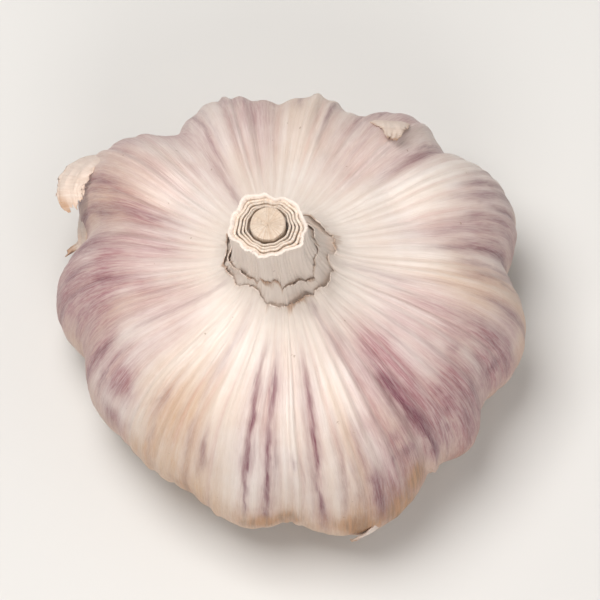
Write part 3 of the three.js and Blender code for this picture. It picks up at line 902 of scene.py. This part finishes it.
def neck_sheath(number, radius, thick, cut, seed):
    """One rolled leaf base inside the neck: a ring that follows the neck's folds the more,
    the farther out it is, up to an almost level cut."""
    turns = round_turns(SHEATH_COLUMNS)
    share = np.linspace(1, 0, SHEATH_ROWS)[:, None]
    azimuth = TURN * turns
    top = cut + drifts(turns, 0.0, (0.16, 13, 9.0, seed), (0.06, 80, 9.0, seed + 20))
    height = blend(SHEATH_FLOOR - 0.3, top, share)
    follow = (radius - STALK_RADIUS) / (MERIDIAN[-1, 0] - STALK_RADIUS)
    wave = drifts(turns, 6 * share, (0.02, 9, 6.0, seed + 40), (0.01, 50, 3.0, seed + 60))
    middle = radius + wave + follow * neck_fold(azimuth, NECK_TOP)
    rounded = 0.45 * thick * smooth_step(0.93, 1.0, share)
    outer = polar(middle - rounded, azimuth, height)
    inner = polar(middle - thick + rounded, azimuth, height)
    return sheet(f"neck_sheath_{number}", outer, inner, {"flow": flow(turns, height)}, True)


COLLARS = [  # name, foot, edge, strips, longest strip, farthest lean, stands off, seed
    ("torn_collar", 38.6, 43.4, 13, 3.2, 1.1, 0.4, 301),
    ("inner_collar", 41.8, 46.4, 11, 3.8, 0.5, 0.12, 302),
]
COLLAR_ROWS = 24
COLLAR_THICK = 0.13
COLLAR_SUNK = 0.07          # how far the foot lies below the skin that it comes out of


def torn_collar(name, foot, edge, strips, longest, lean, stands, seed):
    """The torn upper end of an outer skin, round the foot of the neck. It grows out of the
    skin below it and is split along the fibre: between two tears the edge rises as
    1 - |2p - 1|^k across the strip, and the strip leans out by a power of its height. Its
    outer face is never nearer to the skin than it stands off there, or than its own
    thickness where that is less."""
    turns = columns_round()[2]
    rng = np.random.default_rng(seed)
    tears = (np.arange(strips) + rng.uniform(-0.38, 0.38, strips)) / strips
    strip = (np.searchsorted(tears, turns[0]) - 1) % strips

    def each(low, high):
        return rng.uniform(low, high, strips)[strip]

    width = (np.roll(tears, -1) - tears) % 1.0
    across = ((turns[0] - tears[strip]) % 1.0) / width[strip]
    hump = (1 - np.abs(2 * across - 1) ** each(1.4, 5.0)).clip(0, 1)
    tall = each(0.25, 1.0) * longest * hump
    ragged = drifts(turns, 0.0, (0.35, 90, 9.0, seed + 1), (0.2, 260, 9.0, seed + 2))
    share = np.linspace(1, 0, COLLAR_ROWS)[:, None]
    height = blend(foot, edge + tall + ragged * np.minimum(1, 0.4 + tall), share)
    out = each(0.15, 1.0) * lean * hump * share**2.4
    crumple = 0.16 * drift(turns, 9 * share, 46, 2.6, seed + 3) * share**2
    radius = meridian_radius(height)
    at, lift = skin_places(height, length_at(height), radius)
    clear = stands * smooth_step(0.0, 0.7, share) - COLLAR_SUNK * (1 - share) ** 4
    lowest = lift + np.minimum(clear, COLLAR_THICK)
    lift = np.maximum(lift * (1 - 0.6 * share**2) + clear + out + crumple, lowest)
    azimuth = wound(TURN * turns, height) + 0.02 * np.sin(3 * TURN * turns) * share**2
    outer = skin_point(azimuth, radius, height, lift)
    inner = skin_point(azimuth, radius, height, lift - COLLAR_THICK)
    torn = share + 0.2 * drift(turns, 6 * share, 60, 2.0, seed + 4)
    dry = each(0.2, 0.75) * smooth_step(0.66, 1.08, torn)
    vectors = skin_vectors(at)
    vectors["state"][..., 1] = np.maximum(vectors["state"][..., 1], dry)
    return sheet(name, outer, inner, vectors, True)


FLAKES = [  # name, azimuth, height, turn, rise, lift, twist, root width, tip width, rag
    ("torn_flake_left", 141, 24, 15, -2.0, 5.4, 60, 7.0, 4.2, 1.0),
    ("torn_flake_low", 153, 19, 11, -3.5, 1.8, 30, 7.0, 2.0, 0.7),
    ("torn_tip_front", 293, 12, -8, -2.0, 0.7, 0, 2.8, 1.2, 0.3),
    ("torn_flake_back", 62, 29, -9, 4.5, 1.7, -20, 7.0, 2.2, 0.8),
]
FLAKE_ROWS, FLAKE_COLUMNS = 56, 48
FLAKE_THICK = 0.12
FLAKE_ROOT_DEPTH = 0.5


def skin_at(degrees, height):
    """The plain skin without ribs, at a place round the bulb and a height."""
    return skin_point(np.radians(degrees), meridian_radius(height), height)


def unit(vectors):
    """Each vector divided by its length."""
    return vectors / np.linalg.norm(vectors, axis=-1, keepdims=True)


def rotated(vectors, axis, angle):
    """Turns each vector about its own axis (Rodrigues' formula)."""
    cosine, sine = np.cos(angle)[..., None], np.sin(angle)[..., None]
    along = (vectors * axis).sum(-1, keepdims=True)
    return vectors * cosine + np.cross(axis, vectors) * sine + axis * along * (1 - cosine)


def torn_flake(name, azimuth, height, turn, rise, lift, twist, root, tip, rag):
    """A flake of skin that leaves the surface: its middle line runs on round the bulb while
    it lifts by a power of the share, its section swings by the twist and is curled, and
    its tip and sides are torn by noise."""
    seed = int(azimuth)
    share = np.linspace(0, 1, FLAKE_ROWS)[:, None]
    side = np.linspace(-1, 1, FLAKE_COLUMNS)[None, :]
    tear = drifts(0.5 + 0.3 * side, 0.0, (1, 13, 9.0, seed), (0.5, 47, 9.0, seed + 1))
    pulled = share * (1 - 0.18 * side**2 * (turn > 0)) + 0.09 * rag * share**2 * tear
    degrees, z = azimuth + turn * pulled, height + rise * pulled
    middle = skin_at(degrees, z)
    normal = unit(np.cross(skin_at(degrees + 2, z) - skin_at(degrees - 2, z),
                           skin_at(degrees, z + 1) - skin_at(degrees, z - 1)))
    onward = unit(skin_at(degrees + np.sign(turn), z + rise / abs(turn)) - middle)
    across = unit(np.cross(normal, onward))
    swing = -math.radians(twist) * pulled
    normal, across = rotated(normal, onward, swing), rotated(across, onward, swing)
    frayed = drifts(share * 0.5, 0.0, (1, 19, 9.0, seed + 2), (0.5, 60, 9.0, seed + 5))
    half = 0.5 * (blend(root, tip, share) + rag * share * frayed)
    away = (lift + FLAKE_ROOT_DEPTH) * np.maximum(pulled, 0) ** 0.9 - FLAKE_ROOT_DEPTH
    beside = 0.06 * side * half
    crease = (0.3 * drift(beside, 5 * share, 15, 2.6, seed + 3)
              + 0.16 * drift(beside, 9 * share, 40, 1.6, seed + 4))
    curl = -0.1 * side**2 * half + crease * share - 0.6 * share**3 * side * (lift > 3)
    line = middle + across * (side * half)[..., None]
    outer, inner = (line + normal * (away + curl + off)[..., None]
                    for off in (0.5 * FLAKE_THICK, -0.5 * FLAKE_THICK))
    rim = np.maximum(np.abs(side), share) + 0.2 * tear * share
    brown = 0.08 + 0.2 * share + 0.4 * smooth_step(0.75, 1.05, rim)
    return sheet(name, outer, inner, flake_vectors(
        degrees / 360, length_at(z) + side * half, 0.2 * (1 - share), 0.3, brown))


STALK_LOOKS = STALK_RADIUS + 0.12      # radius of the dressed stalk, just over the solid's
STALK_COLUMNS, STALK_SIDE_ROWS, STALK_CUT_ROWS = 144, 30, 22


def flower_stalk():
    """The cut stalk: a round rod with fine lengthwise ridges, a slightly dished cut with
    the rings and pores of its fibre, and a small pith hollow in the middle."""
    turns = round_turns(STALK_COLUMNS)
    down = np.linspace(STALK_TOP - 0.25, STALK_FOOT, STALK_SIDE_ROWS)[:, None]
    ridges = drifts(turns, down, (0.07, 30, 12.0, 401), (0.03, 71, 9.0, 402))
    share = np.linspace(0.04, 0.96, STALK_CUT_ROWS)[:, None]
    cut = STALK_TOP - 0.22 * bell(share, 0.22) + 0.1 * drift(turns, 30 * share, 24, 3.0, 403)
    cut = cut - 0.12 * smooth_step(0.85, 1.0, share) + 0.03 * np.cos(46 * share)
    rings = np.concatenate([polar(share * STALK_LOOKS, TURN * turns, cut),
                            polar(STALK_LOOKS - 0.05 + ridges, TURN * turns, down)])
    length = np.concatenate([60 + 3 * (1 - share), down])
    poles = [polar(0.0, 0.0, STALK_TOP - 0.24), polar(0.0, 0.0, STALK_FOOT)]
    return round_piece("flower_stalk", rings, poles, {"flow": flow(turns, length)})


PLATE_RADIUS, PLATE_TOP, PLATE_UNDER = ROOT_HOLE_WALL - 0.5, 5.0, 3.4
CROWN_FOOT, CROWN_TOP = 4.6, 5.6
PLATE_COLUMNS, PLATE_ROWS = 180, 66
ROOT_COUNT = 190
ROOTS_FROM, ROOTS_TO = 5.2, 8.8     # distances from the axis between which they start
ROOTS_REACH = 9.2                   # none goes farther out than this
OFF_FLOOR = 0.02
THREAD_RINGS, THREAD_SIDES = 9, 7
GOLDEN_ANGLE = math.pi * (3 - math.sqrt(5))


def root_plate():
    """The corky plate that the cloves grow on: a disc with a flat scar in the middle, its
    underside roughened by noise that stops at the scar."""
    turns = round_turns(PLATE_COLUMNS)
    profile = spline(np.array([
        (0.5, PLATE_TOP), (5.0, PLATE_TOP), (8.8, PLATE_TOP), (PLATE_RADIUS, 4.4),
        (9.0, PLATE_UNDER), (7.4, PLATE_UNDER - 0.2), (CROWN_TOP, 2.8), (CROWN_FOOT + 0.3, 0.9),
        (CROWN_FOOT, 0.1), (CROWN_FOOT - 0.3, 0.0), (2.4, 0.0), (0.4, 0.0)]), PLATE_ROWS)
    radius, height = profile[:, :1], profile[:, 1:]
    rough = (height > 0.4) & (height < 4.8)
    bumps = rough * drifts(turns, 2 * radius, (0.16, 34, 1.6, 501), (0.1, 80, 0.9, 502))
    scar = 0.05 * (1 + drift(turns, 3 * radius, 18, 1.7, 503)) * (height <= 0.05)
    height = np.maximum(0, height + bumps + scar * smooth_step(0.6, 2.0, CROWN_FOOT - radius))
    return round_piece("root_plate", around(radius + bumps, TURN * turns, height),
                       [(0, 0, PLATE_TOP), (0, 0, 0.05)], {"flow": flow(turns, 3 * radius)})


def root_threads():
    """Trimmed roots: bent tapering tubes from inside the plate. Each middle line goes down
    while it drifts out and aside by the square of its share, and its cut end is blunt."""
    rng = np.random.default_rng(9)
    number = np.arange(ROOT_COUNT)[:, None]
    turn = number * GOLDEN_ANGLE + rng.uniform(-0.1, 0.1, ROOT_COUNT)[:, None]
    out = np.sqrt(blend(ROOTS_FROM**2, ROOTS_TO**2, (number + 0.5) / ROOT_COUNT))
    end, radius, splay, aside = (rng.uniform(low, high, ROOT_COUNT)[:, None] for low, high in (
        (0.12, 2.2), (0.22, 0.46), (-0.3, 1.0), (-1.4, 1.4)))
    share = np.linspace(0, 1, THREAD_RINGS)[None, :]
    far = np.minimum(out + splay * share**2, ROOTS_REACH - radius * 0.5)
    swing = aside * share**2 + 0.16 * np.sin(9 * share + number)
    middle = np.stack([far * np.cos(turn) - swing * np.sin(turn),
                       far * np.sin(turn) + swing * np.cos(turn),
                       blend(PLATE_UNDER + 0.5, end, share)], -1)
    width = radius * blend(1.0, 0.62, share) * (1 + 0.12 * np.sin(14 * share + 2 * number))
    ring = around(1.0, TURN * round_turns(THREAD_SIDES)[0], 0.0)
    tubes = middle[:, :, None, :] + width[:, :, None, None] * ring
    tubes[..., 2] = np.maximum(tubes[..., 2], OFF_FLOOR)
    ends = np.stack([middle[:, 0], middle[:, -1] - [0, 0, 0.04]], 1)
    turns = (turn / TURN)[:, :, None] + 0.004 * np.arange(THREAD_SIDES)
    return round_piece("root_threads", tubes, ends, {"flow": flow(turns, 4 * share[..., None])})


# ---- the whole bulb

PAPER = paper_material()
SHEATH = husk_material("neck_sheath", paint(232, 211, 192), paint(247, 239, 229), 16.0, 3.0, 0.2)
STALK = husk_material("stalk_fibre", paint(218, 192, 168), paint(243, 229, 214), 14.0, 2.0, 0.3)
ROOT = husk_material("root_cork", paint(120, 92, 64), paint(178, 148, 108), 30.0, 6.0, 0.8)

dress(bulb_skin(), PAPER, "skin", "bulb")
for collar in COLLARS:
    dress(torn_collar(*collar), PAPER, "skin", "bulb")
for flake in FLAKES:
    dress(torn_flake(*flake), PAPER, "skin", "bulb")
for number, sheath in enumerate(SHEATHS, 1):
    dress(neck_sheath(number, *sheath), SHEATH, "skin", "bulb")
dress(flower_stalk(), STALK, "stalk", "stalk")
dress(root_plate(), ROOT, "roots", "roots")
dress(root_threads(), ROOT, "roots", "roots")

# ---- floor, light and camera

# From here on, sizes are in metres.
FLOOR_SIZE = 3.0
CAMERA_HEIGHT = math.radians(68)    # above the level, as the bulb is seen
CAMERA_DISTANCE = 0.9
SEEN_WIDTH = 0.084                  # width of the view at the bulb
SENSOR = 36.0
LOOK_AT = (0.001, 0.0, 0.022)


def pale_floor():
    """One large square at the height that the bulb stands on."""
    mesh = bpy.data.meshes.new("floor")
    half = FLOOR_SIZE / 2
    mesh.from_pydata([(-half, -half, 0), (half, -half, 0), (half, half, 0), (-half, half, 0)],
                     [], [(0, 1, 2, 3)])
    floor = new_object("floor", mesh)
    material, _, shader = new_material("pale_floor")
    shader["Base Color"].default_value = paint(212, 210, 207)
    shader["Roughness"].default_value = 0.8
    mesh.materials.append(material)


def soft_light(name, place, size, power, colour):
    """A square area light that looks at the middle of the bulb."""
    light = bpy.data.lights.new(name, "AREA")
    light.size, light.energy, light.color = size, power, colour
    aim(new_object(name, light), place)


def aim(thing, place):
    """Puts a thing at a place so that its -Z looks at the bulb and its +Y is up."""
    away = np.array(place) - np.array(LOOK_AT)
    thing.location = place
    thing.rotation_euler = (math.acos(away[2] / np.linalg.norm(away)), 0,
                            math.atan2(away[1], away[0]) + math.pi / 2)


def camera():
    """Looks at the bulb from the front and above. The lens is its sensor's width times the
    distance, divided by the width seen."""
    lens = bpy.data.cameras.new("camera")
    lens.sensor_width = SENSOR
    lens.lens = SENSOR * CAMERA_DISTANCE / SEEN_WIDTH
    lens.clip_start, lens.clip_end = 0.01, 10
    seen = new_object("camera", lens)
    aim(seen, (LOOK_AT[0], LOOK_AT[1] - CAMERA_DISTANCE * math.cos(CAMERA_HEIGHT),
               LOOK_AT[2] + CAMERA_DISTANCE * math.sin(CAMERA_HEIGHT)))
    bpy.context.scene.camera = seen


pale_floor()
# name, place, size, power, colour
soft_light("key", (-0.14, 0.04, 0.62), 0.3, 3.7, (1.0, 0.99, 0.975))
soft_light("fill", (0.45, -0.05, 0.6), 0.5, 0.6, (1.0, 0.99, 0.98))
soft_light("front", (0.05, -0.62, 0.46), 0.4, 2.15, (1.0, 0.99, 0.98))
world = bpy.data.worlds.new("studio")
world.use_nodes = True
sky = world.node_tree.nodes["Background"].inputs
sky["Color"].default_value = paint(242, 240, 238)
sky["Strength"].default_value = 0.25
bpy.context.scene.world = world
bpy.context.scene.view_settings.view_transform = "Standard"
camera()
